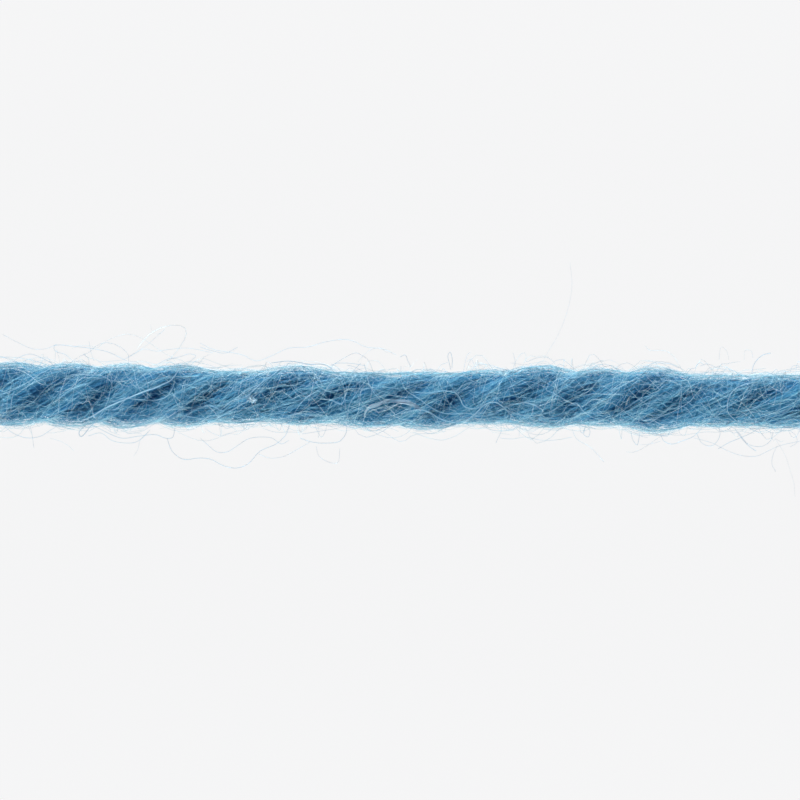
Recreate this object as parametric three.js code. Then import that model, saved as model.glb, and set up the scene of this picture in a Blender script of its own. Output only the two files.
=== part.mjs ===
// Knitting yarn: a cut length of wool yarn of four plies, lying straight on a surface.
//
// Each ply is a soft strand of combed wool. The four are laid round one another in one long left-handed
// turn, so that seen from above the grooves between them climb from lower left to upper right. They press
// on each other in the middle, so the yarn is one solid with four rounded crowns in its section. The plies
// are of uneven thickness, and the turn is closer in some places than in others, as in real wool.
//
// X runs along the yarn, Y across it, and Z up from the surface. The origin is in the middle of the
// underside. All sizes are in millimetres.

import * as THREE from "three";

// Driving dimensions
const LENGTH = 44; // from one cut end to the other
const PLIES = 4;
const PLY_SHARE = 0.5; // a ply's radius, as a share of how far its crown stands from the yarn's middle
const MIDDLE_HEIGHT = 1.3; // the yarn's middle over the surface, on which its lowest crowns are pressed flat
const CUT_ROUNDING = 0.4; // length over which the edge of a cut end is rounded off
const CUT_SHARE = 0.86; // how much of the section is left at the cut itself

// Resolution
const POINTS_ROUND = 32;
const STEPS_ALONG = 120;

const QUARTER_TURN = Math.PI / 2;

// Route of the yarn's middle, chosen by hand: it runs a little to the near side from left to right.
// Columns: x along, y across.
const ROUTE = [
  [-22.0, 0.16],
  [-19.0, 0.15],
  [-16.0, 0.14],
  [-13.0, 0.12],
  [-10.0, 0.08],
  [-7.0, 0.06],
  [-4.0, 0.01],
  [-1.0, -0.03],
  [2.0, -0.04],
  [5.0, -0.02],
  [8.0, -0.04],
  [11.0, -0.08],
  [14.0, -0.12],
  [17.0, -0.13],
  [20.0, -0.15],
  [22.0, -0.16],
];

// Humps of the yarn's outline, each a quarter turn of the plies after the one before. In each, one ply's
// crown is at the far side and the ply across from it is at the near side.
// Columns: x along, far crown's distance from the yarn's middle, near crown's distance from it.
const HUMPS = [
  [-25.2, 1.4, 1.4],
  [-22.6, 1.4, 1.38],
  [-20.0, 1.38, 1.4],
  [-17.4, 1.43, 1.41],
  [-14.8, 1.41, 1.43],
  [-12.3, 1.4, 1.49],
  [-9.8, 1.38, 1.4],
  [-7.3, 1.12, 1.22],
  [-4.6, 1.4, 1.24],
  [-1.5, 1.12, 1.32],
  [1.2, 1.2, 1.4],
  [3.7, 1.27, 1.16],
  [6.5, 1.45, 1.33],
  [9.1, 1.38, 1.24],
  [11.5, 1.44, 1.47],
  [14.3, 1.08, 1.18],
  [17.3, 1.17, 1.25],
  [19.9, 1.35, 1.35],
  [22.6, 1.4, 1.38],
  [25.2, 1.38, 1.4],
];

// A smooth curve through (place, value) pairs, as a function of the place.
function smooth(pairs) {
  const places = pairs.map(([place]) => place);
  const values = pairs.map(([, value]) => value);
  const curve = new THREE.CubicInterpolant(places, values, 1);
  return (place) => curve.evaluate(place)[0];
}

const middleAt = smooth(ROUTE);

// Quarter turns made from the first hump.
const quartersAt = smooth(HUMPS.map(([x], quarters) => [x, quarters]));

// Distance of a ply's crown from the yarn's middle. The table gives it wherever the ply is at the far or
// the near side, and it changes smoothly in between.
function crownOf(ply) {
  const known = [];
  HUMPS.forEach(([x, far, near], quarters) => {
    const side = (quarters - ply + 2 * PLIES) % PLIES;
    if (side === 0) known.push([x, far]);
    if (side === PLIES / 2) known.push([x, near]);
  });
  return smooth(known);
}

const plies = Array.from({ length: PLIES }, (_, ply) => ({
  crownAt: crownOf(ply),
  // Angle round the yarn from straight up towards the far side.
  angleAt: (x) => QUARTER_TURN * (1 + quartersAt(x) - ply),
}));

// Distance from the yarn's middle to its surface: the outermost of the plies' round sections that lie in
// the direction of the angle.
function reachAt(x, angle) {
  const reaches = plies.map(({ crownAt, angleAt }) => {
    const radius = PLY_SHARE * crownAt(x);
    const offset = crownAt(x) - radius;
    const away = angle - angleAt(x);
    const aside = offset * Math.sin(away);
    if (Math.cos(away) < 0 || Math.abs(aside) > radius) return 0;
    return offset * Math.cos(away) + Math.sqrt(radius * radius - aside * aside);
  });
  return Math.max(...reaches) * cutShareAt(x);
}

// The section draws in over the last stretch before each cut end.
function cutShareAt(x) {
  const fromCut = Math.max(0, LENGTH / 2 - Math.abs(x));
  const drawnIn = Math.max(0, 1 - fromCut / CUT_ROUNDING);
  return 1 - (1 - CUT_SHARE) * drawnIn * drawnIn;
}

// A straight cylinder with closed ends, whose points are moved to the yarn's surface. Its rows of points
// turn with the plies, so that its edges run along the grooves and crowns.
function yarnGeometry() {
  const geometry = new THREE.CylinderGeometry(1, 1, LENGTH, POINTS_ROUND, STEPS_ALONG);
  const points = geometry.getAttribute("position");
  for (let i = 0; i < points.count; i++) {
    const x = -points.getY(i);
    const onAxis = Math.hypot(points.getX(i), points.getZ(i)) < 0.5;
    const angle = Math.atan2(points.getX(i), points.getZ(i)) + plies[0].angleAt(x);
    const reach = onAxis ? 0 : reachAt(x, angle);
    const y = middleAt(x) + reach * Math.sin(angle);
    const z = Math.max(0, MIDDLE_HEIGHT + reach * Math.cos(angle));
    points.setXYZ(i, x, y, z);
  }
  geometry.computeVertexNormals();
  return geometry;
}

const wool = new THREE.MeshStandardMaterial({
  name: "dyed wool",
  color: 0x4f84a8,
  roughness: 0.95,
  metalness: 0,
});

const yarn = new THREE.Mesh(yarnGeometry(), wool);
yarn.name = "yarn";

const knittingYarn = new THREE.Group();
knittingYarn.name = "knitting_yarn";
knittingYarn.add(yarn);

export default knittingYarn;
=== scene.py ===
# %% [markdown]
# A cut length of dyed wool knitting yarn, lying straight on a pale table and seen from straight above.
#
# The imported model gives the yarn's real size and its main form: four soft plies laid round one another in
# a left-handed turn. What makes it look like wool is not on that surface at all. It is thousands of single
# fibres that lie along each ply, cross from one to the next, and stand off as fuzz and as a halo. So this
# script rebuilds the yarn the way a spinner does, fibre by fibre, round the same route. A real fibre is
# about 0.03 mm thick. Most are drawn at about 0.01 mm here, which keeps the photograph's fine grain,
# although there are far fewer of them than in real yarn.

# %% Load the frame
import math

import bmesh
import bpy
import numpy as np
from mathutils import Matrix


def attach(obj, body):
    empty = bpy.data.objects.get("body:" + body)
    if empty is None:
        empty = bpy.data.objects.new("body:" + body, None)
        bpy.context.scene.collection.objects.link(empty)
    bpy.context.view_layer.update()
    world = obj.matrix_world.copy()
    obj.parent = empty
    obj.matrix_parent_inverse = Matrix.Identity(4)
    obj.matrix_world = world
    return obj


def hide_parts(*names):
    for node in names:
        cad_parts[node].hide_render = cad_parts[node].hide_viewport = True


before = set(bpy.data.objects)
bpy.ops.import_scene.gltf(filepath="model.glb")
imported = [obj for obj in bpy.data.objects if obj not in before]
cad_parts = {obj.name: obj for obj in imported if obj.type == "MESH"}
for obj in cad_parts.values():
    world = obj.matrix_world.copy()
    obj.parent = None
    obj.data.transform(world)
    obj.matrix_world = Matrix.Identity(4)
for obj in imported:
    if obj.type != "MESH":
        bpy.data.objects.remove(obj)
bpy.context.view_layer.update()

# %% [markdown]
# The camera looks straight down. The photograph shows the yarn's full width but neither of its cut ends,
# so the view is 36.13 mm wide at the height of the yarn's middle. A long lens keeps the perspective weak,
# as in a product photograph.

# %% Camera
MM = 0.001  # Blender works in metres, and this script in millimetres until a mesh is made

VIEW_WIDTH = 36.13  # seen of the yarn at the height of its middle
VIEW_MIDDLE_Y = -0.11
MIDDLE_HEIGHT = 1.3  # the yarn's middle over the table
LENS = 150.0
SENSOR = 36.0

CAMERA_RISE = VIEW_WIDTH * LENS / SENSOR  # the camera's height over the yarn's middle

camera_data = bpy.data.cameras.new("camera")
camera_data.lens = LENS
camera_data.sensor_width = SENSOR
camera_data.clip_start = 0.01
camera_data.clip_end = 20.0
camera = bpy.data.objects.new("camera", camera_data)
camera.location = (0, VIEW_MIDDLE_Y * MM, (MIDDLE_HEIGHT + CAMERA_RISE) * MM)
bpy.context.scene.collection.objects.link(camera)
bpy.context.scene.camera = camera
print("Camera height in mm:", round(camera.location.z / MM, 1))

# %% [markdown]
# The route and the uneven humps are the same tables that the solid was built from. Each row of
# `HUMPS` is a quarter turn of the plies after the row before, so the row's number tells how far the yarn
# has turned at that place. One smooth curve through each column gives every place in between.

# %% The route and the turn of the plies
LENGTH = 44.0
PLIES = 4
PLY_SHARE = 0.5  # a ply's radius, as a share of how far its crown stands from the yarn's middle
QUARTER_TURN = math.pi / 2

# Columns: x along, y across.
ROUTE = [
    (-22.0, 0.16), (-19.0, 0.15), (-16.0, 0.14), (-13.0, 0.12), (-10.0, 0.08), (-7.0, 0.06),
    (-4.0, 0.01), (-1.0, -0.03), (2.0, -0.04), (5.0, -0.02), (8.0, -0.04), (11.0, -0.08),
    (14.0, -0.12), (17.0, -0.13), (20.0, -0.15), (22.0, -0.16),
]  # fmt: skip

# Columns: x along, far crown's distance from the yarn's middle, near crown's distance from it.
HUMPS = [
    (-25.2, 1.4, 1.4), (-22.6, 1.4, 1.38), (-20.0, 1.38, 1.4), (-17.4, 1.43, 1.41),
    (-14.8, 1.41, 1.43), (-12.3, 1.4, 1.49), (-9.8, 1.38, 1.4), (-7.3, 1.12, 1.22),
    (-4.6, 1.4, 1.24), (-1.5, 1.12, 1.32), (1.2, 1.2, 1.4), (3.7, 1.27, 1.16),
    (6.5, 1.45, 1.33), (9.1, 1.38, 1.24), (11.5, 1.44, 1.47), (14.3, 1.08, 1.18),
    (17.3, 1.17, 1.25), (19.9, 1.35, 1.35), (22.6, 1.4, 1.38), (25.2, 1.38, 1.4),
]  # fmt: skip


def smooth(pairs):
    """A smooth curve through (place, value) pairs, as a function of the place."""
    places, values = np.array(pairs, float).T
    slopes = np.gradient(values, places)

    def curve(at):
        i = np.clip(np.searchsorted(places, at) - 1, 0, len(places) - 2)
        step = places[i + 1] - places[i]
        t = (at - places[i]) / step
        start = (1 + 2 * t) * (1 - t) ** 2 * values[i] + step * t * (1 - t) ** 2 * slopes[i]
        end = t * t * (3 - 2 * t) * values[i + 1] - step * t * t * (1 - t) * slopes[i + 1]
        return start + end

    return curve


def crown_of(ply):
    """How far a ply's crown stands from the yarn's middle, known where it is at the far or near side."""
    known = []
    for quarters, (x, far, near) in enumerate(HUMPS):
        side = (quarters - ply) % PLIES
        if side == 0:
            known.append((x, far))
        if side == PLIES / 2:
            known.append((x, near))
    return smooth(known)


middle_at = smooth(ROUTE)
quarters_at = smooth([(x, quarters) for quarters, (x, _, _) in enumerate(HUMPS)])
crowns = [crown_of(ply) for ply in range(PLIES)]
turns = float(quarters_at(LENGTH / 2) - quarters_at(-LENGTH / 2)) / PLIES
print("Turns of the plies in the cut length:", round(turns, 2))

# %% [markdown]
# Two ways to say where a fibre is. `on_ply` follows one ply: an angle of 0 is its crown, and a level of 1
# is its surface. `on_yarn` follows the whole yarn: an angle of 0 is straight up, and the lift is the
# distance from the outermost ply in that direction. Neither goes under the table. Angles are in radians.

# %% Places on a ply and on the yarn
LOWEST = 0.019  # a fibre's middle is never closer to the table


def ply_frame(ply, x):
    """A ply's radius, how far its middle is from the yarn's, and the angle at which it lies."""
    crown = crowns[ply](x)
    radius = PLY_SHARE * crown
    return radius, crown - radius, QUARTER_TURN * (1 + quarters_at(x) - ply)


def above_table(x, y, z):
    return np.stack([x, y, np.maximum(z, LOWEST)], -1)


def on_ply(ply, x, angle, level):
    radius, offset, turn = ply_frame(ply, x)
    out = offset + level * radius * np.cos(angle)
    aside = level * radius * np.sin(angle)
    y = middle_at(x) + out * np.sin(turn) + aside * np.cos(turn)
    z = MIDDLE_HEIGHT + out * np.cos(turn) - aside * np.sin(turn)
    return above_table(x, y, z)


def reach_at(x, angle):
    """Distance from the yarn's middle to its outermost ply in the direction of the angle."""
    reach = np.zeros(np.broadcast(x, angle).shape)
    for ply in range(PLIES):
        radius, offset, turn = ply_frame(ply, x)
        aside = offset * np.sin(angle - turn)
        along = offset * np.cos(angle - turn)
        hits = (along > 0) & (np.abs(aside) < radius)
        far = along + np.sqrt(np.maximum(radius**2 - aside**2, 0))
        reach = np.where(hits, np.maximum(reach, far), reach)
    return reach


def on_yarn(x, angle, lift):
    reach = reach_at(x, angle) + lift
    return above_table(x, middle_at(x) + reach * np.sin(angle), MIDDLE_HEIGHT + reach * np.cos(angle))


# %% [markdown]
# Small functions that the rest of the script uses: one turns a colour from the usual sRGB hex value into
# the linear numbers that Blender's nodes want, and one adds a node with its settings and links.

# %% Helpers for nodes
def linear(hex_colour):
    """The linear RGBA of an sRGB hex colour."""
    parts = [int(hex_colour[i : i + 2], 16) / 255 for i in (1, 3, 5)]
    return [p / 12.92 if p <= 0.04045 else ((p + 0.055) / 1.055) ** 2.4 for p in parts] + [1.0]


def add_node(tree, kind, inputs=None, **settings):
    """Adds a node with these settings. An input is linked if it is given a socket, or else set."""
    node = tree.nodes.new(kind)
    for name, value in settings.items():
        setattr(node, name, value)
    for name, value in (inputs or {}).items():
        if isinstance(value, bpy.types.NodeSocket):
            tree.links.new(value, node.inputs[name])
        else:
            node.inputs[name].default_value = value
    return node


# %% [markdown]
# Dyed wool. A fibre is a translucent, scaly tube of keratin that takes up dye unevenly, so fibres lie side
# by side in lighter and darker blues, and their colour drifts a little along their length. The scales
# scatter light, so there is hardly any gloss and a faint sheen. Some light goes through a fibre, more
# through a single pale one than through the imported body, and a translucent shader is mixed in for that.
# Blender's hair shader could do all of it at once, but it is made for hair curves, and these are meshes.
#
# Each fibre carries its own place in a colour ramp in its UV map: U is how pale it is drawn, and V runs
# along it. U is mostly how the fibre took the dye, but on the plies and at the cores' cut ends it also
# carries painted shade and painted light. The fine noise is on that map too, so the colour follows the
# fibre and never slides over it.
# The body's fibres are about 7 mm long, so five steps of noise along the map change one every 1.4 mm.

# %% Materials
FIBRE_MAP = "OFBake"
DYE_GRAIN = (90.0, 5.0, 1.0)  # steps of noise from the deepest dye to the palest, and along a fibre
DYE_DRIFT = 0.03  # how far the colour drifts in its ramp
GLOSS_DRIFT = 0.08  # how far the roughness drifts
KERATIN_IOR = 1.55
SCALY_GLOSS = 0.12  # what the scales leave of the gloss


def wool(name, stops, roughness, sheen, sheen_tint, lets_through):
    """Wool whose colour goes through the stops, hex colours by place, as U goes from 0 to 1."""
    material = bpy.data.materials.new(name)
    material.use_nodes = True
    tree = material.node_tree
    tree.nodes.clear()
    place = add_node(tree, "ShaderNodeUVMap", uv_map=FIBRE_MAP)
    stretched = add_node(tree, "ShaderNodeMapping", {"Vector": place.outputs["UV"], "Scale": DYE_GRAIN})
    uneven_dye = add_node(
        tree,
        "ShaderNodeTexNoise",
        {"Vector": stretched.outputs["Vector"], "Scale": 1.0, "Detail": 2.0, "Roughness": 0.6},
        noise_dimensions="2D",
    ).outputs["Fac"]
    parts = add_node(tree, "ShaderNodeSeparateXYZ", {"Vector": place.outputs["UV"]})
    drift = add_node(
        tree,
        "ShaderNodeMapRange",
        {"Value": uneven_dye, "From Min": 0.25, "From Max": 0.75, "To Min": -DYE_DRIFT, "To Max": DYE_DRIFT},
    )
    paleness = add_node(
        tree, "ShaderNodeMath", {0: parts.outputs["X"], 1: drift.outputs["Result"]}, operation="ADD"
    )
    ramp = add_node(tree, "ShaderNodeValToRGB", {"Fac": paleness.outputs["Value"]})
    elements = ramp.color_ramp.elements
    while len(elements) < len(stops):
        elements.new(1.0)
    for element, (at, colour) in zip(elements, stops):
        element.position = at
        element.color = linear(colour)
    low, high = roughness - GLOSS_DRIFT, roughness + GLOSS_DRIFT
    scaly = add_node(tree, "ShaderNodeMapRange", {"Value": uneven_dye, "To Min": low, "To Max": high})
    surface = add_node(
        tree,
        "ShaderNodeBsdfPrincipled",
        {
            "Base Color": ramp.outputs["Color"],
            "Roughness": scaly.outputs["Result"],
            "IOR": KERATIN_IOR,
            "Specular IOR Level": SCALY_GLOSS,
            "Sheen Weight": sheen,
            "Sheen Roughness": 0.5,
            "Sheen Tint": linear(sheen_tint),
        },
    )
    through = add_node(tree, "ShaderNodeBsdfTranslucent", {"Color": ramp.outputs["Color"]})
    mixed = add_node(
        tree,
        "ShaderNodeMixShader",
        {0: lets_through, 1: surface.outputs["BSDF"], 2: through.outputs["BSDF"]},
    )
    add_node(tree, "ShaderNodeOutputMaterial", {"Surface": mixed.outputs["Shader"]})
    return material


# The body's fibres, from the darkest to the palest. On the plies the dark end is also painted shade in the
# grooves.
dyed_wool = wool(
    "dyed wool",
    [(0.0, "#3272ac"), (0.35, "#5198b6"), (0.6, "#8cbac8"), (0.8, "#b6d4da"), (1.0, "#d3e5e8")],
    roughness=0.85,
    sheen=0.05,
    sheen_tint="#a8d4ee",
    lets_through=0.15,
)
# The long loose hairs are the coarse, wavy ones, which take less dye. Light comes at them from all sides.
pale_wool = wool(
    "pale stray wool",
    [(0.0, "#8eb7ca"), (0.4, "#b1cdda"), (0.75, "#cce3ec"), (1.0, "#ecf3f6")],
    roughness=0.8,
    sheen=0.1,
    sheen_tint="#eef6fa",
    lets_through=0.75,
)
# A kemp is a brittle, chalky hair with a hollow core. It takes hardly any dye and stays greyish.
kemp_hair = wool(
    "undyed kemp",
    [(0.0, "#7f9db0"), (0.5, "#9db8c8"), (1.0, "#c4d5df")],
    roughness=0.7,
    sheen=0.1,
    sheen_tint="#ffffff",
    lets_through=0.3,
)
print("Materials:", [m.name for m in (dyed_wool, pale_wool, kemp_hair)])

# %% [markdown]
# The cores. A ply is packed wool right through, so a solid strand runs inside its fibres, and nothing shows
# through the yarn. It is thin, which keeps the grooves between the plies deep, and gets thicker towards a
# cut, where it shows behind the fibre tips. Each is a straight cylinder, cut across into many rings, whose
# points are then moved on to the ply. A cylinder swept along a curve would do as well, but the plies are
# pressed flat on the table and change thickness, and moving the points does all of that at once.
#
# Yarn that lies free is a cord, and the four cores are made as one piece along it.

# %% The four cores
CORE_LEVEL = 0.42  # the core's surface, as a share of the ply's radius
CORE_SIDES = 24
CORE_STEPS = 110
CORE_INSET = 0.1  # how far inside the cut ends the cores stop, where only fibres reach
CORE_ROUNDING = 0.3  # length over which a core's end is rounded off
CORE_END = 0.8  # how much of its thickness is left at the end itself
CUT_CORE_LEVEL = 0.85  # what the core's level comes to at the cut
CUT_SPREAD = 2.0  # length over which a core gets thicker towards the cut
CORE_TONE = 0.3
CORE_STREAKS = 0.2  # how much paler its palest streak is
CUT_PAINTED_LIGHT = 0.3  # how much paler it is drawn at the cut: painted light on its end, which gets little light
FIBRE_TURN = -0.35  # how far a fibre turns round its ply in each mm, against the turn of the plies


def core_map(angle, x, near_cut):
    """A place in the colour ramp: streaks along the fibres, without a seam, and paler at the cut as painted
    light, since the core's end gets little light.
    """
    across = np.abs((angle - FIBRE_TURN * x + math.pi) % (2 * math.pi) - math.pi) / math.pi
    # Painted light: near a cut the core is drawn paler, where its end face gets little light.
    tone = CORE_TONE + CORE_STREAKS * across + CUT_PAINTED_LIGHT * near_cut
    return np.stack([tone, x / LENGTH + 0.5], -1)


def add_core(mesh, ply):
    """Adds one ply's core to the mesh: a straight cylinder of many rings, moved on to the ply."""
    bm = bmesh.new()
    length = LENGTH - 2 * CORE_INSET
    bmesh.ops.create_cone(bm, cap_ends=True, segments=CORE_SIDES, radius1=1, radius2=1, depth=length)
    lengthwise = [e for e in bm.edges if abs(e.verts[0].co.z - e.verts[1].co.z) > 0.5 * length]
    bmesh.ops.subdivide_edges(bm, edges=lengthwise, cuts=CORE_STEPS - 1)
    flat = np.array([vert.co for vert in bm.verts])
    x, angle = flat[:, 2], np.arctan2(flat[:, 1], flat[:, 0])
    rounding = np.clip((length / 2 - np.abs(x)) / CORE_ROUNDING, 0, 1)
    near_cut = np.clip((np.abs(x) - length / 2) / CUT_SPREAD + 1, 0, 1) ** 2
    level = CORE_LEVEL + (CUT_CORE_LEVEL - CORE_LEVEL) * near_cut
    places = on_ply(ply, x, angle, level * (CORE_END + (1 - CORE_END) * np.sqrt(rounding))) * MM
    streaks = bm.loops.layers.uv.new(FIBRE_MAP)
    for vert, place, (u, v) in zip(bm.verts, places, core_map(angle, x, near_cut)):
        vert.co = place
        for loop in vert.link_loops:
            loop[streaks].uv = (u, v)
    bmesh.ops.recalc_face_normals(bm, faces=bm.faces)
    bm.from_mesh(mesh)
    bm.to_mesh(mesh)
    bm.free()


cores = bpy.data.objects.new("ply_cores", bpy.data.meshes.new("ply_cores"))
bpy.context.scene.collection.objects.link(cores)
for ply in range(PLIES):
    add_core(cores.data, ply)
cores.data.materials.append(dyed_wool)
cores.data.shade_smooth()
print("Cores:", len(cores.data.polygons), "faces")


# %% [markdown]
# Every fibre is a thin tube along its own line. There are thousands, so the lines are worked out together
# as one array, and stored as a mesh that has edges but no faces. A Geometry Nodes tree then does the rest:
# it turns the edges into curves, sweeps a triangle along each, scaled by the fibre's own thickness, closes
# the ends, and writes the UV map. A triangular tube is enough where a fibre is no wider than a pixel. It
# takes six triangles for each step of a line, where an eight-sided tube takes sixteen. Hair curves would
# be quicker to make and to render, but a piece for reuse has to end as a plain mesh.

# %% From lines to tubes
SECTION_SIDES = 3
SECTION_RADIUS = 0.6  # of a triangle that looks as wide as a round fibre of thickness 1
MAP_WIDTH = 0.02  # how far a fibre reaches across the colour ramp, so that its faces have a width there
MAP_MARGIN = 0.02  # what is left free at both ends of the map


def fibre_tree():
    tree = bpy.data.node_groups.new("tubes along lines", "GeometryNodeTree")
    for way in ("INPUT", "OUTPUT"):
        tree.interface.new_socket("Geometry", in_out=way, socket_type="NodeSocketGeometry")
    lines = add_node(tree, "NodeGroupInput").outputs["Geometry"]
    curves = add_node(tree, "GeometryNodeMeshToCurve", {"Mesh": lines})
    section = add_node(
        tree,
        "GeometryNodeCurvePrimitiveCircle",
        {"Resolution": SECTION_SIDES, "Radius": SECTION_RADIUS * MM},
    )
    round_it = add_node(tree, "GeometryNodeSplineParameter").outputs["Factor"]
    marked = add_node(
        tree,
        "GeometryNodeStoreNamedAttribute",
        {"Geometry": section.outputs["Curve"], "Name": "side", "Value": round_it},
    )
    read = {
        name: add_node(tree, "GeometryNodeInputNamedAttribute", {"Name": name}).outputs["Attribute"]
        for name in ("thickness", "tone", "along", "roll", "side")
    }
    rolled = add_node(
        tree, "GeometryNodeSetCurveTilt", {"Curve": curves.outputs["Curve"], "Tilt": read["roll"]}
    )
    tubes = add_node(
        tree,
        "GeometryNodeCurveToMesh",
        {
            "Curve": rolled.outputs["Curve"],
            "Profile Curve": marked.outputs["Geometry"],
            "Scale": read["thickness"],
            "Fill Caps": True,
        },
    )
    across = add_node(
        tree,
        "ShaderNodeMath",
        {0: read["side"], 1: MAP_WIDTH, 2: read["tone"]},
        operation="MULTIPLY_ADD",
    )
    place = add_node(tree, "ShaderNodeCombineXYZ", {"X": across.outputs["Value"], "Y": read["along"]})
    made = add_node(
        tree,
        "GeometryNodeStoreNamedAttribute",
        {"Geometry": tubes.outputs["Mesh"], "Name": FIBRE_MAP, "Value": place.outputs["Vector"]},
        data_type="FLOAT2",
        domain="CORNER",
    ).outputs["Geometry"]
    for name in read:
        made = add_node(
            tree, "GeometryNodeRemoveAttribute", {"Geometry": made, "Name": name}
        ).outputs["Geometry"]
    add_node(tree, "NodeGroupOutput", {"Geometry": made})
    return tree


GOLDEN = 0.618  # each fibre's triangle is rolled on by this share of a turn, so that no side is favoured
tubes_along_lines = fibre_tree()
counted = {}


def make_fibres(name, lines, thickness, tone, material, tip=0.5):
    """One piece of many fibres. `lines` is an array of fibres by points by (x, y, z), in mm."""
    count, points = lines.shape[:2]
    taper = np.full(points, 1.0)
    taper[[0, -1]] = tip
    first = np.arange(count)[:, None] * points + np.arange(points - 1)
    mesh = bpy.data.meshes.new(name)
    edges = np.stack([first.ravel(), first.ravel() + 1], 1)
    mesh.from_pydata((lines * MM).reshape(-1, 3), edges, [])
    for label, values in {
        "thickness": np.outer(thickness, taper),
        "tone": tone + np.zeros((count, points)),
        "along": np.outer(np.ones(count), np.linspace(MAP_MARGIN, 1 - MAP_MARGIN, points)),
        "roll": np.outer(2 * np.pi * GOLDEN * np.arange(count), np.ones(points)),
    }.items():
        mesh.attributes.new(label, "FLOAT", "POINT").data.foreach_set("value", values.ravel())
    piece = bpy.data.objects.new(name, mesh)
    bpy.context.scene.collection.objects.link(piece)
    piece.modifiers.new("tubes", "NODES").node_group = tubes_along_lines
    evaluated = piece.evaluated_get(bpy.context.evaluated_depsgraph_get())
    piece.data = bpy.data.meshes.new_from_object(evaluated)
    piece.data.name = name
    piece.modifiers.clear()
    bpy.data.meshes.remove(mesh)
    piece.data.materials.clear()
    piece.data.materials.append(material)
    piece.data.shade_smooth()
    counted[name] = sum(len(face.vertices) - 2 for face in piece.data.polygons)
    print(f"{name}: {count} fibres, {counted[name]} triangles")
    return piece


# %% [markdown]
# The fibres of each ply. A spun fibre comes up towards the ply's surface, runs along it for a few
# millimetres in slow waves, and dives in again, which is why both of its ends are deeper than its middle.
# About a third of them lie close round the core, and the rest fill the ply out to its loose surface.
# Chance alone would leave clumps and holes, so the fibres are spread evenly, and only their slant, waves,
# length and tone are random. A particle system could scatter hairs over the cores, but it wouldn't know
# which way a ply runs. Worked out along their ply, they all lean against its turn, as spun fibres do.
#
# A fibre's tone follows its distance from the yarn's middle, point by point along it: it is drawn darker
# deep down in the grooves and paler further out. This is painted shade, for the shade that falls in the
# grooves.

# %% Fibres of the plies
PLY_FIBRES = 2900
FIBRE_POINTS = 9
HALF_LENGTHS = (2.2, 4.8)  # half of what shows of a fibre
OVERRUN = 1.5  # how far past a cut a fibre's middle may lie, so that the cut goes through it
RAGGED = 0.12  # how unevenly the scissors leave the fibres' ends
SHORTEST = 1.0  # what is cut off shorter falls out
TURN_SPREAD = 0.12
CRIMP_ANGLES = (0.02, 0.12)  # how far a fibre's waves swing round its ply
CRIMP_LENGTHS = (1.5, 3.5)  # from one wave to the next
CRIMP_DEPTH = 0.3  # of the waves inwards and outwards, as a share of those round the ply
INNER_SHARE = 0.35  # of the fibres, which lie close round the core
INNER_LEVEL, INNER_SPREAD = 0.52, 0.06
LOFT = 1.05  # how far out the loosest fibres of a ply lie
LOOSENESS = 0.67  # 1 spreads the fibres evenly over the ply's section, and less packs its middle closer
DIVE = 0.12  # how much deeper a fibre's ends are, as a share of the ply's radius
PLY_THICKNESSES = (0.010, 0.015)
GROOVE_SHADE_REACH = 0.72  # a share of a crown's distance from the yarn's middle, within which the painted groove shade is full
MOST_OUT_OF_SHADE = 1.2  # how far out of the painted groove shade the loose fibres come, which lie further out than the crown
SHADE_HOLD = 1.5  # 1 lightens evenly from the edge of the groove shade outwards, and more keeps the painted shade for longer
# The tone in the painted shade of the grooves, how much paler a fibre is drawn out of that shade, and the
# random spread of tone.
GROOVE_SHADE_TONE, PALER_OUT_OF_SHADE, TONE_SPREAD = 0.16, 0.38, 0.05
EVEN_STEPS = (0.8192, 0.6710, 0.5497)  # steps that fill a cube evenly, with no clumps and no rows


def steps_between(start, stop, points):
    return start[:, None] + (stop - start)[:, None] * np.linspace(0, 1, points)


def evenly(rng, count):
    """Three numbers from 0 to 1 for each fibre, spread much more evenly than chance would."""
    return ((rng.random(3) + np.outer(np.arange(count), EVEN_STEPS)) % 1).T


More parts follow.
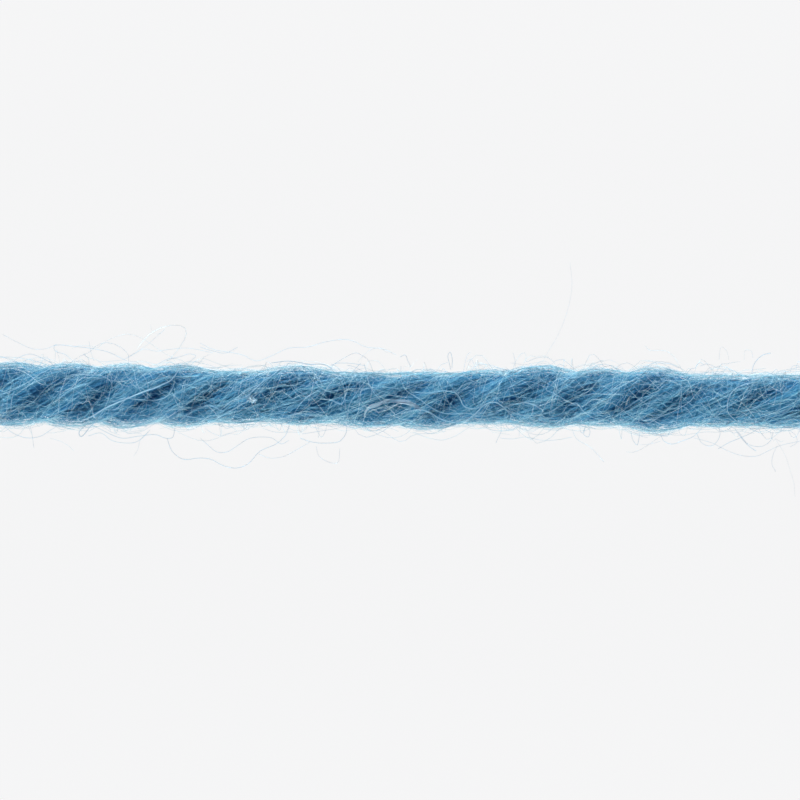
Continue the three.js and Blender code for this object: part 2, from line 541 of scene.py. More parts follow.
def ply_fibres(ply):
    rng = np.random.default_rng(100 + ply)
    each = (PLY_FIBRES, 1)
    lengthwise, round_it, outwards = evenly(rng, PLY_FIBRES)
    middle = (LENGTH + 2 * OVERRUN) * (lengthwise - 0.5)
    half = rng.uniform(*HALF_LENGTHS, PLY_FIBRES)
    cut = LENGTH / 2 + rng.normal(0, RAGGED, PLY_FIBRES)
    start, stop = np.maximum(middle - half, -cut), np.minimum(middle + half, cut)
    kept = stop - start > SHORTEST
    x = steps_between(start, stop, FIBRE_POINTS)

    turn = rng.normal(FIBRE_TURN, TURN_SPREAD, each)
    crimp = rng.uniform(*CRIMP_ANGLES, each)
    wave = 2 * np.pi * (x / rng.uniform(*CRIMP_LENGTHS, each) + rng.random(each))
    angle = 2 * np.pi * round_it[:, None] + turn * (x - middle[:, None]) + crimp * np.sin(wave)
    inner = rng.normal(INNER_LEVEL, INNER_SPREAD, PLY_FIBRES)
    outer_share = np.clip((outwards - INNER_SHARE) / (1 - INNER_SHARE), 0, 1)
    peak = np.where(outwards < INNER_SHARE, inner, LOFT * np.sqrt(1 - outer_share**LOOSENESS))
    dive = DIVE * np.abs(np.linspace(-1, 1, FIBRE_POINTS)) ** 3
    level = np.abs(peak[:, None] - dive + CRIMP_DEPTH * crimp * np.cos(1.3 * wave))

    thickness = rng.uniform(*PLY_THICKNESSES, PLY_FIBRES)
    lines = on_ply(ply, x, angle, level)
    # Painted shade: a fibre is drawn darker where it lies deep towards the yarn's middle, in the grooves,
    # and paler further out.
    from_middle = np.hypot(lines[..., 1] - middle_at(x), lines[..., 2] - MIDDLE_HEIGHT)
    out_of_shade = np.clip((from_middle / crowns[ply](x) - GROOVE_SHADE_REACH) / (1 - GROOVE_SHADE_REACH), 0, MOST_OUT_OF_SHADE)
    tone = GROOVE_SHADE_TONE + PALER_OUT_OF_SHADE * out_of_shade**SHADE_HOLD + rng.normal(0, TONE_SPREAD, each)
    return make_fibres(f"ply_{ply + 1}_fibres", lines[kept], thickness[kept], tone[kept], dyed_wool)


bodies = [ply_fibres(ply) for ply in range(PLIES)]

# %% [markdown]
# Crossing fibres. Some fibres slip out of their own ply while the yarn is plied, and run over the grooves
# on to the next. They follow the whole yarn and not a ply, at all slants, and both of their ends go in.
# Some of the plies' own fibres could be let loose instead, but a piece of their own has its own slants.

# %% Crossing fibres
CROSSING = 220
CROSSING_POINTS = 15
CROSSING_HALVES = (1.2, 4.0)
CROSSING_ROOM = 21.5  # their middles are this far from the yarn's middle at most
CROSSING_TURN = 0.4  # in each mm, and the spread of the turns
WANDER = 0.25  # how far a fibre strays from an even turn
WANDER_RATES = (0.6, 1.8)  # how fast it sways, in each mm
BRIDGED = 1.13  # a crossing fibre spans a groove and doesn't go down to its bottom
CROSSING_LIFT, LIFT_SPREAD = 0.005, 0.03  # the least, and how much more the others have
CROSSING_DIVE = 0.08
CROSSING_THICKNESSES = (0.010, 0.018)
CROSSING_TONE, CROSSING_PALENESS = 0.3, 0.4  # the deepest, and how much paler the palest is
CROSSING_ODDS = (1.6, 2.4)  # a beta curve, with more fibres near the deepest than near the palest


def crossing_fibres():
    rng = np.random.default_rng(21)
    each = (CROSSING, 1)
    half = rng.uniform(*CROSSING_HALVES, CROSSING)
    middle = rng.uniform(-CROSSING_ROOM, CROSSING_ROOM, CROSSING)
    start, stop = np.maximum(middle - half, -LENGTH / 2), np.minimum(middle + half, LENGTH / 2)
    x = steps_between(start, stop, CROSSING_POINTS)
    turn = rng.normal(CROSSING_TURN, CROSSING_TURN, each)
    along = x - middle[:, None]
    wander = rng.normal(0, WANDER, each) * np.sin(along * rng.uniform(*WANDER_RATES, each))
    angle = rng.uniform(-np.pi, np.pi, each) + turn * along + wander
    dive = CROSSING_DIVE * np.abs(np.linspace(-1, 1, CROSSING_POINTS)) ** 4
    lift = CROSSING_LIFT + LIFT_SPREAD * rng.random(each) - dive
    bridge = np.maximum(BRIDGED - reach_at(x, angle), 0)
    lines = on_yarn(x, angle, lift + bridge)
    tone = CROSSING_TONE + CROSSING_PALENESS * rng.beta(*CROSSING_ODDS, each)
    thickness = rng.uniform(*CROSSING_THICKNESSES, CROSSING)
    return make_fibres("crossing_fibres", lines, thickness, tone, dyed_wool)


crossing = crossing_fibres()

# %% [markdown]
# Fuzz. Short fibre ends and small loops stand off all over the surface, at all slants. Most stay within a
# tenth of a millimetre, and a fifth of them reach further. They are dyed like the body, a little paler, and
# lie closer at both sides, where the yarn's outline fades out in them instead of ending in an edge. A bump
# in the material would roughen the surface for less, but the outline would stay clean.

# %% Fuzz
FUZZ = 4500
FUZZ_POINTS = 7
FUZZ_SLANT, SLANT_SPREAD, STEEPEST = 0.35, 0.8, 1.4  # away from the yarn's length
FUZZ_HALVES = (0.35, 1.4)
CLOSE_HEIGHT, FAR_HEIGHT, FAR_SHARE = 0.06, 0.2, 0.2  # mean heights, and the share that reaches far
LOWEST_FUZZ, HIGHEST_FUZZ = 0.01, 0.7
LEAN = 0.5  # how far the tops of the loops lean to one end
OPEN_SHARE, OPEN_RISE = 0.35, 0.3  # the share with an open end, and how much higher that end is
FUZZ_SWAY, FUZZ_SWAY_RATES = 0.12, (2, 6)
ROOTED = 0.03  # how deep the ends are
TO_THE_SIDES = 0.2  # how far fuzz is moved round the yarn, from its top and underside to its sides
FUZZ_THICKNESSES = (0.007, 0.011)
FUZZ_TONE, FUZZ_PALENESS, FUZZ_ODDS = 0.4, 0.55, (1.3, 2.2)


def fuzz_fibres():
    rng = np.random.default_rng(33)
    each = (FUZZ, 1)
    lengthwise, round_it, outwards = evenly(rng, FUZZ)
    middle = (LENGTH - 0.2) * (lengthwise - 0.5)
    slant = np.clip(rng.normal(FUZZ_SLANT, SLANT_SPREAD, FUZZ), -STEEPEST, STEEPEST)
    half = rng.uniform(*FUZZ_HALVES, FUZZ) * np.cos(slant)
    x = steps_between(middle - half, middle + half, FUZZ_POINTS)
    along = np.linspace(-1, 1, FUZZ_POINTS)
    reaches = np.where(rng.random(FUZZ) < FAR_SHARE, FAR_HEIGHT, CLOSE_HEIGHT)
    height = np.minimum(LOWEST_FUZZ - reaches * np.log(1 - outwards), HIGHEST_FUZZ)[:, None]
    lean = rng.normal(0, LEAN, each)
    arch = (1 - along**2) * (1 + lean * along)
    open_end = rng.random(each) < OPEN_SHARE
    arch = np.where(open_end & (along > 0), 1 + OPEN_RISE * along, arch)
    turn = (np.tan(slant) / MIDDLE_HEIGHT)[:, None]
    wave = FUZZ_SWAY * np.sin(along * rng.uniform(*FUZZ_SWAY_RATES, each) + rng.uniform(0, 6.28, each))
    around = 2 * np.pi * round_it[:, None]
    angle = around + TO_THE_SIDES * np.sin(2 * around) + turn * (x - middle[:, None]) + wave
    bridge = np.maximum(BRIDGED - reach_at(x, angle), 0)
    lines = on_yarn(x, angle, bridge + height * arch - ROOTED)
    tone = FUZZ_TONE + FUZZ_PALENESS * rng.beta(*FUZZ_ODDS, each)
    return make_fibres("fuzz", lines, rng.uniform(*FUZZ_THICKNESSES, FUZZ), tone, dyed_wool)


fuzz = fuzz_fibres()

# %% [markdown]
# Halo hairs. These are longer and springy, and stand off mostly at both sides. Each leaves the body,
# wanders through the air in soft bends, and more often than not comes back. Its bends are random, and
# smoothed many times, so it never kinks. They could be drawn one by one, as the next hairs are, but the
# faint ones only need the right number, length and spread.

# %% Halo hairs
HALO = 150
HALO_POINTS = 20
HALO_LENGTHS = (1.5, 6.0)
HALO_ROOM = 22.3  # no hair goes further along than this
LOWEST_HALO, HALO_HEIGHT, HIGHEST_HALO = 0.05, 0.25, 2.2  # the middle one is a mean, over the lowest
COMES_BACK = 0.6  # the share that does
HALO_SIDE, SIDE_SPREAD = 0.55, 0.15  # where a hair stands, in half turns from straight up
HALO_TWIST = 0.3  # how far its tip is turned round the yarn from its root
SWAY_ALONG, SWAY_UP, SWAY_ROUND = (1.2, 12), (1.0, 8), (0.8, 14)  # spread, and times it is smoothed
HALO_ROOTED = 0.04
HALO_THICKNESSES = (0.007, 0.011)
HALO_TONES = (0.4, 0.7)


def smoothed(values, times):
    """Each value moved towards its neighbours along the fibre, as many times as asked."""
    for _ in range(times):
        padded = np.pad(values, [(0, 0), (1, 1)] + [(0, 0)] * (values.ndim - 2), mode="edge")
        values = 0.25 * padded[:, :-2] + 0.5 * values + 0.25 * padded[:, 2:]
    return values


def halo_hairs():
    rng = np.random.default_rng(45)
    each = (HALO, 1)

    def sway(spread, times):
        return smoothed(rng.normal(0, spread, (HALO, HALO_POINTS)), times)

    length = rng.uniform(*HALO_LENGTHS, each)
    share = np.linspace(0, 1, HALO_POINTS)
    middle = rng.uniform(-CROSSING_ROOM, CROSSING_ROOM, each)
    x = middle + (share - 0.5) * length * rng.choice([-1, 1], each)
    x = np.clip(x + sway(*SWAY_ALONG), -HALO_ROOM, HALO_ROOM)
    height = np.minimum(rng.exponential(HALO_HEIGHT, each) + LOWEST_HALO, HIGHEST_HALO)
    comes_back = rng.random(each) < COMES_BACK
    arch = np.where(comes_back, np.sin(np.pi * share), np.sin(0.5 * np.pi * share))
    lift = height * arch * (1 + sway(*SWAY_UP))
    aside = rng.choice([-1, 1], each) * rng.normal(HALO_SIDE, SIDE_SPREAD, each) * np.pi
    angle = aside + rng.normal(0, HALO_TWIST, each) * share + sway(*SWAY_ROUND)
    lines = on_yarn(x, angle, lift - HALO_ROOTED)
    thickness, tone = rng.uniform(*HALO_THICKNESSES, HALO), rng.uniform(*HALO_TONES, each)
    return make_fibres("halo_hairs", lines, thickness, tone, dyed_wool)


halo = halo_hairs()

# %% [markdown]
# The hairs that give this length of yarn its own face are placed one by one. Each was read off the
# photograph: a thickness in thousandths of a millimetre, then the places that it passes through, in the
# photograph's pixels. A smooth curve joins them. A hair that lies over the body rests on the plies
# there, and one beside it hangs in the air at about the height of the yarn's middle. Hairs that end over
# the body dip in at that end, as a real one does where it comes out of the wool. The boldest hairs stand
# out most, so the thickness drawn goes by the square of the one that was read.

# %% Routes of single hairs
PHOTO_SIDE = 800  # pixels
PHOTO_MM = VIEW_WIDTH / PHOTO_SIDE

HAIRS_ON_BODY = [
    (62, [(82, 421), (94, 415), (105, 408), (121, 401), (140, 393), (159, 386), (172, 379), (179, 369)]),
    (52, [(112, 402), (125, 398), (134, 399), (147, 400), (157, 400), (167, 396), (172, 389), (175, 381)]),
    (42, [(110, 373), (112, 381), (110, 392), (106, 405), (99, 417), (90, 427), (80, 436), (79, 434),
          (87, 424)]),
    (50, [(0, 395), (13, 390), (25, 384), (42, 373), (50, 369)]),
    (42, [(14, 391), (12, 398), (11, 406), (11, 412)]),
    (45, [(0, 423), (11, 412), (32, 403), (47, 387), (60, 378)]),
    (35, [(3, 419), (19, 413), (38, 413)]),
    (38, [(6, 363), (6, 370), (3, 382), (1, 388)]),
    (40, [(70, 375), (89, 375), (102, 376), (111, 382), (113, 391)]),
    (38, [(135, 368), (142, 374), (147, 382), (147, 401), (146, 408), (135, 415), (131, 418)]),
    (35, [(134, 371), (136, 381), (140, 390), (147, 398), (159, 404)]),
    (45, [(104, 410), (116, 409), (122, 403), (129, 396)]),
    (60, [(180, 421), (184, 417), (193, 411), (201, 408), (209, 406), (216, 408), (222, 411), (228, 407)]),
    (55, [(220, 411), (226, 405), (232, 401), (245, 397), (257, 387), (265, 380), (271, 376), (279, 370)]),
    (52, [(182, 415), (198, 418), (208, 419), (218, 417), (229, 412), (240, 405), (248, 401), (256, 395),
          (264, 388)]),
    (42, [(225, 405), (235, 399), (245, 391), (255, 386), (261, 383), (265, 378), (271, 374)]),
    (45, [(222, 413), (234, 402), (243, 398), (252, 395), (262, 385), (272, 376), (282, 368)]),
    (38, [(214, 375), (212, 382), (211, 389)]),
    (40, [(243, 376), (241, 384), (238, 395)]),
    (38, [(289, 381), (294, 391), (302, 399)]),
    (45, [(317, 391), (306, 398), (297, 409), (291, 421)]),
    (42, [(271, 363), (288, 361), (308, 364), (328, 366), (335, 373), (343, 385), (345, 395), (342, 404),
          (329, 399)]),
    (45, [(314, 376), (318, 386), (328, 391), (340, 390), (359, 390), (379, 387), (400, 389)]),
    (50, [(366, 372), (369, 384), (374, 393), (381, 401), (388, 408), (395, 414)]),
    (42, [(366, 380), (357, 392), (349, 406), (347, 419), (343, 426)]),
    (38, [(353, 377), (350, 384), (344, 389), (334, 391)]),
    (52, [(400, 378), (406, 390), (418, 398), (429, 406), (440, 412), (451, 414), (466, 413), (482, 416),
          (492, 415), (505, 408), (515, 404), (529, 403), (538, 406), (544, 412)]),
    (55, [(411, 392), (425, 393), (448, 391), (457, 394), (461, 400), (463, 405), (468, 408), (477, 408),
          (483, 404)]),
    (60, [(401, 414), (410, 411), (419, 409), (429, 412), (441, 419), (451, 422), (466, 420), (476, 413),
          (484, 405), (494, 402), (502, 406), (508, 412), (515, 419)]),
    (55, [(466, 418), (480, 416), (492, 414), (505, 407), (514, 404), (527, 403), (536, 406), (543, 410)]),
    (52, [(502, 406), (512, 413), (521, 415), (538, 415), (550, 412), (563, 404), (571, 399), (589, 391),
          (597, 382), (603, 376)]),
    (48, [(530, 418), (547, 418), (561, 414), (568, 406), (575, 403), (584, 412), (592, 417), (604, 421)]),
    (40, [(546, 388), (542, 386), (544, 382), (547, 382), (548, 386), (546, 389), (553, 393), (562, 398),
          (569, 403)]),
    (35, [(436, 378), (440, 385), (445, 395), (451, 408)]),
    (35, [(447, 390), (442, 399), (438, 408)]),
    (42, [(600, 394), (612, 394), (623, 396), (617, 404), (614, 413), (611, 419)]),
    (38, [(647, 377), (653, 383), (659, 389)]),
    (42, [(643, 377), (632, 381), (622, 386), (610, 391)]),
    (38, [(645, 404), (661, 403), (672, 409), (682, 406), (688, 410), (693, 419)]),
    (40, [(682, 386), (681, 398), (682, 413)]),
    (42, [(705, 381), (696, 384), (689, 389), (686, 397), (683, 401)]),
    (52, [(758, 382), (743, 385), (733, 391), (728, 401), (728, 412), (734, 419), (739, 423)]),
    (35, [(768, 391), (775, 389), (783, 393)]),
    (38, [(609, 422), (620, 413), (632, 404), (642, 397)]),
    (38, [(648, 424), (660, 417), (670, 413), (680, 408), (692, 400)]),
    (36, [(736, 418), (748, 411), (762, 404), (775, 396)]),
    (36, [(455, 393), (462, 386), (475, 381), (490, 377)]),
    (36, [(516, 395), (528, 388), (538, 381), (550, 374)]),
    (34, [(471, 384), (478, 386), (490, 383), (500, 378)]),
    (36, [(55, 402), (66, 393), (78, 386), (88, 383)]),
    (34, [(88, 391), (98, 390), (105, 385)]),
    (36, [(330, 367), (340, 375), (346, 385), (345, 400), (346, 412), (349, 422)]),
    (34, [(302, 397), (315, 395), (325, 399), (337, 402), (342, 405), (350, 412)]),
    (34, [(315, 382), (322, 389), (332, 389), (340, 385), (347, 382), (355, 377), (352, 371)]),
    (32, [(310, 385), (319, 380), (328, 382), (336, 386), (346, 389)]),
    (34, [(287, 367), (290, 380), (294, 387), (302, 394)]),
    (32, [(361, 363), (357, 367), (352, 373), (347, 381)]),
    (32, [(364, 364), (366, 370), (369, 377)]),
    (32, [(401, 366), (401, 372), (403, 379)]),
    (36, [(382, 417), (395, 415), (405, 410), (415, 407), (425, 410)]),
    (32, [(347, 365), (355, 367), (365, 372), (375, 372), (385, 370)]),
    (30, [(331, 364), (337, 367), (342, 372), (352, 375)]),
    (32, [(321, 367), (319, 375), (321, 381), (327, 380), (329, 372), (325, 367)]),
    (32, [(332, 377), (336, 385), (341, 381), (340, 375), (335, 374)]),
    (34, [(312, 366), (309, 374), (314, 382), (323, 386)]),
    (34, [(155, 370), (165, 372), (172, 380), (180, 385), (190, 385)]),
    (34, [(160, 405), (170, 402), (175, 395), (174, 387)]),
    (32, [(150, 410), (160, 409), (162, 414), (152, 417), (142, 415)]),
    (32, [(172, 392), (180, 407), (187, 410)]),
    (34, [(15, 395), (35, 382), (54, 375)]),
    (32, [(127, 377), (134, 386), (140, 388), (146, 384)]),
    (32, [(685, 410), (692, 415), (695, 422)]),
    (30, [(665, 391), (671, 395), (672, 401), (668, 402)]),
    (30, [(740, 382), (747, 384), (751, 390), (747, 395)]),
    (30, [(560, 378), (566, 385), (574, 387), (580, 382)]),
    (30, [(505, 371), (512, 377), (511, 386), (503, 389)]),
]  # fmt: skip

HAIRS_BESIDE = [
    (28, [(291, 421), (289, 427), (287, 433), (279, 442), (259, 452), (248, 464), (238, 468), (224, 466),
          (210, 459), (200, 458), (182, 459), (172, 451), (167, 438)]),
    (26, [(73, 361), (66, 355), (54, 349), (54, 346), (60, 345), (71, 346), (89, 348), (108, 352),
          (127, 361)]),
    (20, [(89, 341), (91, 352), (94, 361)]),
    (24, [(158, 364), (168, 359), (179, 357), (191, 354), (196, 356), (193, 359), (179, 368)]),
    (20, [(164, 330), (155, 338), (144, 347), (133, 354), (125, 359), (112, 361), (98, 362)]),
    (22, [(125, 359), (134, 354), (144, 349), (155, 351), (172, 349), (186, 348), (200, 350), (213, 353)]),
    (20, [(2, 334), (19, 343), (34, 349), (48, 348), (57, 344)]),
    (24, [(8, 366), (18, 358), (30, 354), (42, 358), (53, 364)]),
    (24, [(200, 347), (213, 351), (225, 353), (238, 347)]),
    (24, [(200, 343), (212, 349), (228, 352), (243, 355), (256, 361), (271, 356), (289, 348), (308, 347),
          (325, 342), (350, 340), (366, 347), (384, 349), (396, 355)]),
    (20, [(358, 362), (362, 357), (366, 353), (379, 348), (388, 353)]),
    (26, [(330, 371), (333, 365), (345, 363), (356, 364), (366, 366)]),
    (26, [(400, 357), (405, 355), (408, 361), (411, 367)]),
    (26, [(451, 370), (449, 362), (448, 355), (450, 352), (452, 357), (452, 368)]),
    (22, [(467, 362), (471, 359), (474, 364), (477, 370)]),
    (20, [(513, 353), (515, 360), (515, 367)]),
    (24, [(476, 364), (490, 365), (503, 369), (516, 371)]),
    (28, [(642, 370), (651, 364), (660, 363), (670, 364), (679, 368)]),
    (30, [(752, 374), (753, 367), (757, 360), (763, 355), (771, 353)]),
    (22, [(700, 366), (706, 364), (718, 368), (728, 370)]),
    (18, [(719, 360), (722, 347), (726, 350), (729, 360)]),
    (18, [(744, 360), (746, 350), (751, 351), (753, 358)]),
    (22, [(790, 372), (793, 366), (800, 366)]),
    (16, [(570, 262), (572, 285), (567, 312), (558, 335), (548, 352), (540, 366)]),
    (15, [(150, 325), (153, 332), (158, 334), (165, 329)]),
    (16, [(600, 362), (610, 360), (618, 364), (625, 371)]),
    (26, [(5, 427), (13, 433), (31, 438), (43, 435), (49, 431), (56, 427)]),
    (22, [(30, 426), (32, 434), (33, 441), (34, 448)]),
    (26, [(88, 436), (101, 433), (111, 440), (127, 443), (136, 442), (141, 439), (150, 430)]),
    (26, [(85, 423), (98, 428), (110, 434), (121, 438), (140, 436), (157, 435), (165, 438), (172, 438),
          (175, 428)]),
    (18, [(50, 438), (62, 442), (70, 447), (74, 451)]),
    (18, [(134, 456), (138, 449), (140, 441), (148, 432)]),
    (24, [(200, 438), (208, 445), (217, 452), (227, 452), (237, 446), (248, 439), (262, 437), (272, 438),
          (282, 444), (289, 440)]),
    (20, [(205, 428), (212, 433), (222, 436), (233, 432), (246, 430)]),
    (22, [(262, 428), (275, 432), (290, 432), (303, 431), (307, 427), (303, 422)]),
    (22, [(258, 454), (270, 458), (282, 457), (298, 449), (310, 442)]),
    (28, [(347, 425), (346, 433), (340, 441), (328, 443), (312, 442), (300, 438)]),
    (20, [(316, 446), (319, 456), (326, 461), (337, 463), (340, 448)]),
    (20, [(318, 426), (319, 434), (318, 438)]),
    (22, [(302, 434), (321, 431), (338, 428), (352, 423)]),
    (26, [(480, 424), (489, 429), (502, 431), (515, 428), (522, 424)]),
    (24, [(413, 432), (429, 438), (442, 440), (455, 436), (468, 428), (477, 423)]),
    (24, [(501, 424), (501, 432), (498, 438), (496, 443)]),
    (20, [(519, 436), (521, 426), (530, 432), (542, 426)]),
    (22, [(572, 429), (576, 438), (590, 447), (598, 455), (604, 462)]),
    (26, [(585, 428), (584, 435), (588, 437), (590, 431), (587, 427)]),
    (22, [(500, 438), (512, 439), (525, 437), (540, 440), (556, 440), (572, 437)]),
    (28, [(660, 432), (664, 441), (671, 444), (682, 441), (694, 436), (702, 428)]),
    (26, [(697, 434), (702, 443), (711, 446), (718, 440), (720, 434), (719, 427)]),
    (26, [(718, 449), (728, 443), (740, 438), (751, 433), (759, 428)]),
    (28, [(735, 429), (744, 441), (750, 447), (756, 451)]),
    (22, [(694, 438), (712, 443), (728, 451), (744, 456), (757, 456), (768, 451), (779, 446), (796, 442),
          (805, 440)]),
    (24, [(738, 432), (750, 445), (763, 446), (771, 440), (773, 432)]),
    (20, [(777, 446), (773, 455), (772, 464), (776, 472)]),
    (26, [(631, 432), (633, 440), (637, 445), (639, 438), (640, 430)]),
    (18, [(640, 445), (650, 444), (661, 441)]),
    (20, [(789, 430), (796, 436), (797, 442), (790, 447)]),
    (16, [(776, 440), (785, 455), (790, 470), (794, 484), (795, 497)]),
]  # fmt: skip
print("Hairs placed by hand:", len(HAIRS_ON_BODY), "on the body and", len(HAIRS_BESIDE), "beside it")

# %% Hairs laid along those routes
HAIR_POINTS = 36
HAIR_SLIMMING = 0.5  # how thick a middling hair is drawn, as a share of what was read
HAIR_LIFT = 0.05  # a hair's middle over the surface of the ply that it lies on
SAG = 0.25  # how much lower a hair beside the body hangs for each mm outwards
LOWEST_HAIR = 0.1
HEIGHT_SMOOTHING = 10  # how often its height is smoothed
TUCKED = 0.1  # how deep a hair's end goes into the wool
TUCK_SHARE = 0.12  # over this share of the hair's length
HAIR_TIP = 0.7  # how thick a hair still is at its ends


def height_over_table(x, y):
    """The height of the plies' top at each place, and whether the body is there at all."""
    top = np.full(np.shape(x), -1.0)
    for ply in range(PLIES):
        radius, offset, turn = ply_frame(ply, x)
        aside = y - (middle_at(x) + offset * np.sin(turn))
        rise = MIDDLE_HEIGHT + offset * np.cos(turn) + np.sqrt(np.maximum(radius**2 - aside**2, 0))
        top = np.where(np.abs(aside) < radius, np.maximum(top, rise), top)
    on_body = top > MIDDLE_HEIGHT
    outwards = np.maximum(np.abs(y - middle_at(x)) - MIDDLE_HEIGHT, 0)
    return np.where(on_body, top, np.maximum(MIDDLE_HEIGHT - SAG * outwards, LOWEST_HAIR)), on_body


def seen_at(pixels, z):
    """Where a point at height z has to be to show at this pixel of the photograph."""
    nearer = 1 - (z - MIDDLE_HEIGHT) / CAMERA_RISE
    x = (pixels[..., 0] - PHOTO_SIDE / 2) * PHOTO_MM * nearer
    y = VIEW_MIDDLE_Y + (PHOTO_SIDE / 2 - pixels[..., 1]) * PHOTO_MM * nearer
    return x, y


def laid_hair(route):
    route = np.array(route, float)
    gone = np.append(0, np.cumsum(np.hypot(*np.diff(route, axis=0).T)))
    steps = np.linspace(0, gone[-1], HAIR_POINTS)
    pixels = np.stack([smooth(list(zip(gone, column)))(steps) for column in route.T], -1)
    x, y = seen_at(pixels, MIDDLE_HEIGHT)
    height, on_body = height_over_table(x, y)
    z = smoothed(height[None], HEIGHT_SMOOTHING)[0] + HAIR_LIFT
    z = np.where(on_body, np.maximum(z, height + HAIR_LIFT), z)
    from_end = np.minimum(np.linspace(0, 1, HAIR_POINTS), np.linspace(1, 0, HAIR_POINTS)) / TUCK_SHARE
    z = z - np.where(on_body, TUCKED * np.maximum(1 - from_end, 0), 0)
    return np.stack([*seen_at(pixels, z), z], -1)


def laid_hairs(name, hairs, material, tones, seed):
    rng = np.random.default_rng(seed)
    lines = np.array([laid_hair(route) for _, route in hairs])
    seen = np.array([microns for microns, _ in hairs]) * MM
    thickness = HAIR_SLIMMING * seen**2 / np.median(seen)
    tone = rng.uniform(*tones, (len(hairs), 1))
    return make_fibres(name, lines, thickness, tone, material, tip=HAIR_TIP)


on_body = laid_hairs("hairs_on_the_body", HAIRS_ON_BODY, pale_wool, tones=(0.0, 0.3), seed=51)
beside = laid_hairs("hairs_beside_the_body", HAIRS_BESIDE, pale_wool, tones=(0.2, 0.6), seed=52)

# %% [markdown]
# The kemp and the nep. A kemp is a short, thick, undyed hair, here a flat ribbon of a few hairs stuck
# together. A nep is a tiny knot of tangled fibres that the carding left: small open loops round one place,
# each a circle that is tilted at random and pulled out of shape.

# %% Kemp and nep
KEMP_ROUTE = [
    (364, 416), (366, 411), (370, 407), (376, 405), (385, 402), (400, 401), (410, 403), (417, 407),
    (421, 410),
]  # fmt: skip
KEMP_HAIRS = 9
KEMP_WIDTH = 3.2  # pixels
KEMP_SWAY = 0.3  # pixels
KEMP_THICKNESS = 0.03
KEMP_TONES = (0.2, 0.7)
NEP_AT = (253, 399)
NEP_LOOPS = 18
NEP_POINTS = 12
NEP_ROUND = 1.7 * np.pi  # how far round an open loop goes
NEP_RADIUS, NEP_SIZES = 0.16, (0.4, 1.2)
NEP_SQUEEZE = (0.4, 1)  # how wide a loop is one way, as a share of the other
NEP_SPREAD, NEP_FORM = 0.07, (1.5, 1, 0.4)  # long along the yarn, and low
NEP_LIFT = 0.06
NEP_THICKNESS = 0.02
NEP_TONES = (0.4, 0.95)


def kemp():
    rng = np.random.default_rng(61)
    lines = []
    for share in np.linspace(-0.5, 0.5, KEMP_HAIRS):
        sway = rng.normal(0, KEMP_SWAY, (len(KEMP_ROUTE), 2)) + (0, share * KEMP_WIDTH)
        lines.append(laid_hair(np.array(KEMP_ROUTE) + sway))
    tone = rng.uniform(*KEMP_TONES, (KEMP_HAIRS, 1))
    return make_fibres("kemp", np.array(lines), np.full(KEMP_HAIRS, KEMP_THICKNESS), tone, kemp_hair)


def nep():
    rng = np.random.default_rng(62)
    x, y = seen_at(np.array(NEP_AT, float), MIDDLE_HEIGHT)
    height, _ = height_over_table(np.array([x]), np.array([y]))
    centre = np.array([x, y, height[0] + NEP_LIFT])
    round_it = np.linspace(0, NEP_ROUND, NEP_POINTS)
    lines = []
    for _ in range(NEP_LOOPS):
        across, up = np.linalg.qr(rng.normal(0, 1, (3, 3)))[0][:2]
        radius = NEP_RADIUS * rng.uniform(*NEP_SIZES)
        squeezed = rng.uniform(*NEP_SQUEEZE) * np.outer(np.sin(round_it), up)
        loop = np.outer(np.cos(round_it), across) + squeezed
        lines.append(centre + rng.normal(0, NEP_SPREAD, 3) * NEP_FORM + radius * loop)
    tone = rng.uniform(*NEP_TONES, (NEP_LOOPS, 1))
    return make_fibres("nep", np.array(lines), np.full(NEP_LOOPS, NEP_THICKNESS), tone, pale_wool)


kemp_piece = kemp()
nep_piece = nep()

# %% [markdown]
# The cut ends. Scissors leave each ply as a blunt brush of fibre tips. The tips fill the ply's section,
# over its whole area alike, and stop a little before or after the cut. They splay out a little there. A
# flat cap with dots in its colour would do from afar, but close up and from the side it would look sawn.

# %% Cut ends
TIPS = 700  # for each ply at each end
TIP_POINTS = 3
TIP_LENGTH = 1.5
TIP_STOP = -0.05  # past the cut, on average
TIP_LEVEL = 0.93  # of the outermost ones
SPLAY = 0.05
TIP_THICKNESSES = (0.014, 0.022)
# The tips' tones differ at random, and are set a little paler as painted light, since the cut faces get
# little light.
TIP_TONES_AND_LIGHT = (0.25, 0.6)
CUT_TIP = 0.9  # a cut tip is blunt


def cut_ends():
    rng = np.random.default_rng(71)
    lines = []
    for ply in range(PLIES):
        for end in (-1, 1):
            stop = LENGTH / 2 + rng.normal(TIP_STOP, RAGGED, TIPS)
            x = end * steps_between(np.full(TIPS, LENGTH / 2 - TIP_LENGTH), stop, TIP_POINTS)
            level = np.sqrt(rng.random((TIPS, 1))) * TIP_LEVEL
            angle = rng.uniform(-np.pi, np.pi, (TIPS, 1)) + FIBRE_TURN * x
            fan = 1 + SPLAY * rng.normal(0, 1, (TIPS, 1)) * np.linspace(0, 1, TIP_POINTS) ** 2
            lines.append(on_ply(ply, x, angle, level * fan))
    lines = np.concatenate(lines)
    tone = rng.uniform(*TIP_TONES_AND_LIGHT, (len(lines), 1))
    thickness = rng.uniform(*TIP_THICKNESSES, len(lines))
    return make_fibres("cut_ends", lines, thickness, tone, dyed_wool, tip=CUT_TIP)


ends = cut_ends()

# %% [markdown]
# Everything is one soft thing that lies still, so every piece rides on the one body. The cores stand for
# the imported solid, the fibre pieces lie on them, and a route for the cord runs along the yarn's middle.

# %% Bodies and the cord's route
fibre_pieces = [*bodies, crossing, fuzz, halo, on_body, beside, kemp_piece, nep_piece, ends]
for piece in [cores, *fibre_pieces]:
    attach(piece, "root")
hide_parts("yarn")

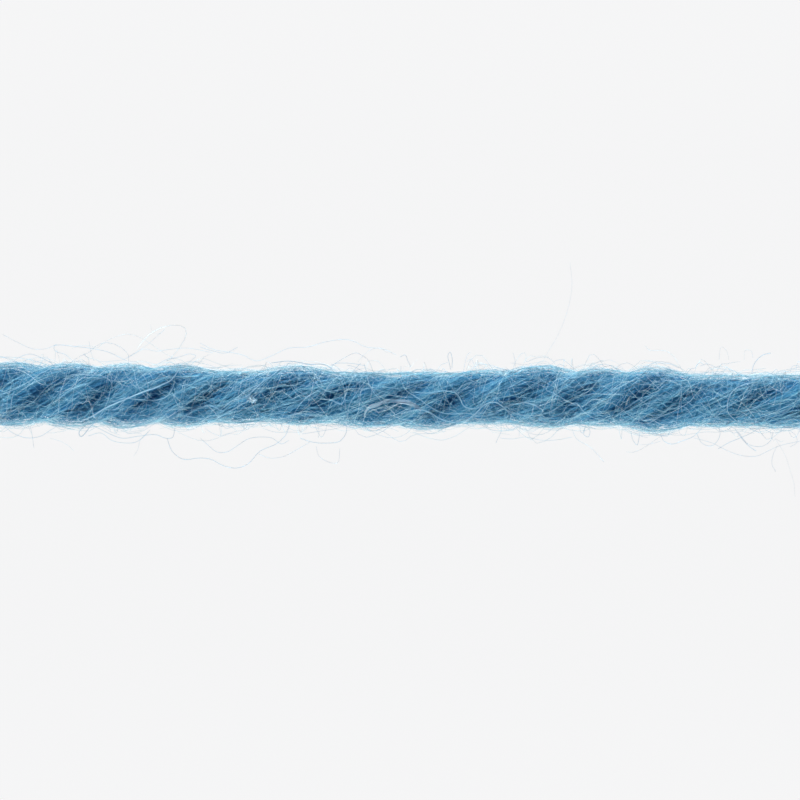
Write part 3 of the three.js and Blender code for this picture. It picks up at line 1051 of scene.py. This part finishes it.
ROUTE_POINTS = 45
along = np.linspace(-LENGTH / 2 + CORE_INSET, LENGTH / 2 - CORE_INSET, ROUTE_POINTS)
route = np.stack([along, middle_at(along), np.full(len(along), MIDDLE_HEIGHT)], -1) * MM
print("Triangles in all:", sum(counted.values()) + sum(len(f.vertices) - 2 for f in cores.data.polygons))

# %% [markdown]
# The table is lit from below, as a light table is, so it is nearly white with almost no shadow. A little
# of its light is still what falls on it, which leaves a faint dark line where the yarn touches it. A white
# table with lamps on it could be as bright, but the yarn would throw a clear shadow.

# %% The pale table
TABLE_COLOUR = "#f5f5f5"
TABLE_SKIN = "#303030"  # what it gives back of the light that falls on it
TABLE_SIZE = 3000.0  # mm
TABLE_GLOW = 0.98  # strength of its own light


def pale_table():
    bm = bmesh.new()
    bmesh.ops.create_grid(bm, x_segments=1, y_segments=1, size=0.5 * TABLE_SIZE * MM)
    mesh = bpy.data.meshes.new("table")
    bm.to_mesh(mesh)
    bm.free()
    material = bpy.data.materials.new("light table")
    material.use_nodes = True
    surface = material.node_tree.nodes["Principled BSDF"]
    surface.inputs["Base Color"].default_value = linear(TABLE_SKIN)
    surface.inputs["Roughness"].default_value = 1.0
    surface.inputs["Specular IOR Level"].default_value = 0.0
    surface.inputs["Emission Color"].default_value = linear(TABLE_COLOUR)
    surface.inputs["Emission Strength"].default_value = TABLE_GLOW
    mesh.materials.append(material)
    table = bpy.data.objects.new("table", mesh)
    bpy.context.scene.collection.objects.link(table)


pale_table()

# %% [markdown]
# The light is a tent: a white wall all round, low down, and a deep blue ceiling where the camera looks in.
# That is why the yarn is brightest along both sides and deepest down its middle. Two long soft boxes stand
# low at the far and the near side, the far one a little brighter. A lamp overhead would be simpler, but it
# would make the middle the brightest.
#
# Light goes from fibre to fibre many times before it comes out of the wool, so it may bounce more often
# than usual. The pixel filter is a little wider than usual too, because the photograph is as soft.

# %% Light
WALL, WALL_TOP = "#ffffff", 0.15  # its top, from 0 at the horizon to 1 overhead
CEILING, CEILING_EDGE = "#204080", 0.5
TENT_GLOW = 1.5
BOX_DISTANCE = 600.0  # mm
BOX_RISE = 60.0
BOX_LONG, BOX_HIGH = 600.0, 150.0


def light_tent():
    world = bpy.data.worlds.new("light tent")
    world.use_nodes = True
    tree = world.node_tree
    tree.nodes.clear()
    towards = add_node(tree, "ShaderNodeTexCoord").outputs["Generated"]
    rise = add_node(tree, "ShaderNodeSeparateXYZ", {"Vector": towards}).outputs["Z"]
    ramp = add_node(tree, "ShaderNodeValToRGB", {"Fac": rise})
    wall, ceiling = ramp.color_ramp.elements
    wall.position, wall.color = WALL_TOP, linear(WALL)
    ceiling.position, ceiling.color = CEILING_EDGE, linear(CEILING)
    glow = add_node(tree, "ShaderNodeBackground", {"Color": ramp.outputs["Color"], "Strength": TENT_GLOW})
    add_node(tree, "ShaderNodeOutputWorld", {"Surface": glow.outputs["Background"]})
    bpy.context.scene.world = world


def soft_box(name, side, colour, watts):
    lamp = bpy.data.lights.new(name, "AREA")
    lamp.shape = "RECTANGLE"
    lamp.size, lamp.size_y = BOX_LONG * MM, BOX_HIGH * MM
    lamp.color = linear(colour)[:3]
    lamp.energy = watts
    box = bpy.data.objects.new(name, lamp)
    box.location = (0, side * BOX_DISTANCE * MM, BOX_RISE * MM)
    tilt = math.atan2(BOX_DISTANCE, BOX_RISE)
    box.rotation_euler = (-side * tilt, 0, 0)
    bpy.context.scene.collection.objects.link(box)


light_tent()
soft_box("far soft box", side=1, colour="#fffffb", watts=14.8)
soft_box("near soft box", side=-1, colour="#fffff8", watts=12.7)
bpy.context.scene.view_settings.view_transform = "Standard"
cycles = bpy.context.scene.cycles
cycles.diffuse_bounces, cycles.transmission_bounces, cycles.max_bounces = 8, 16, 24
cycles.filter_width = 1.6
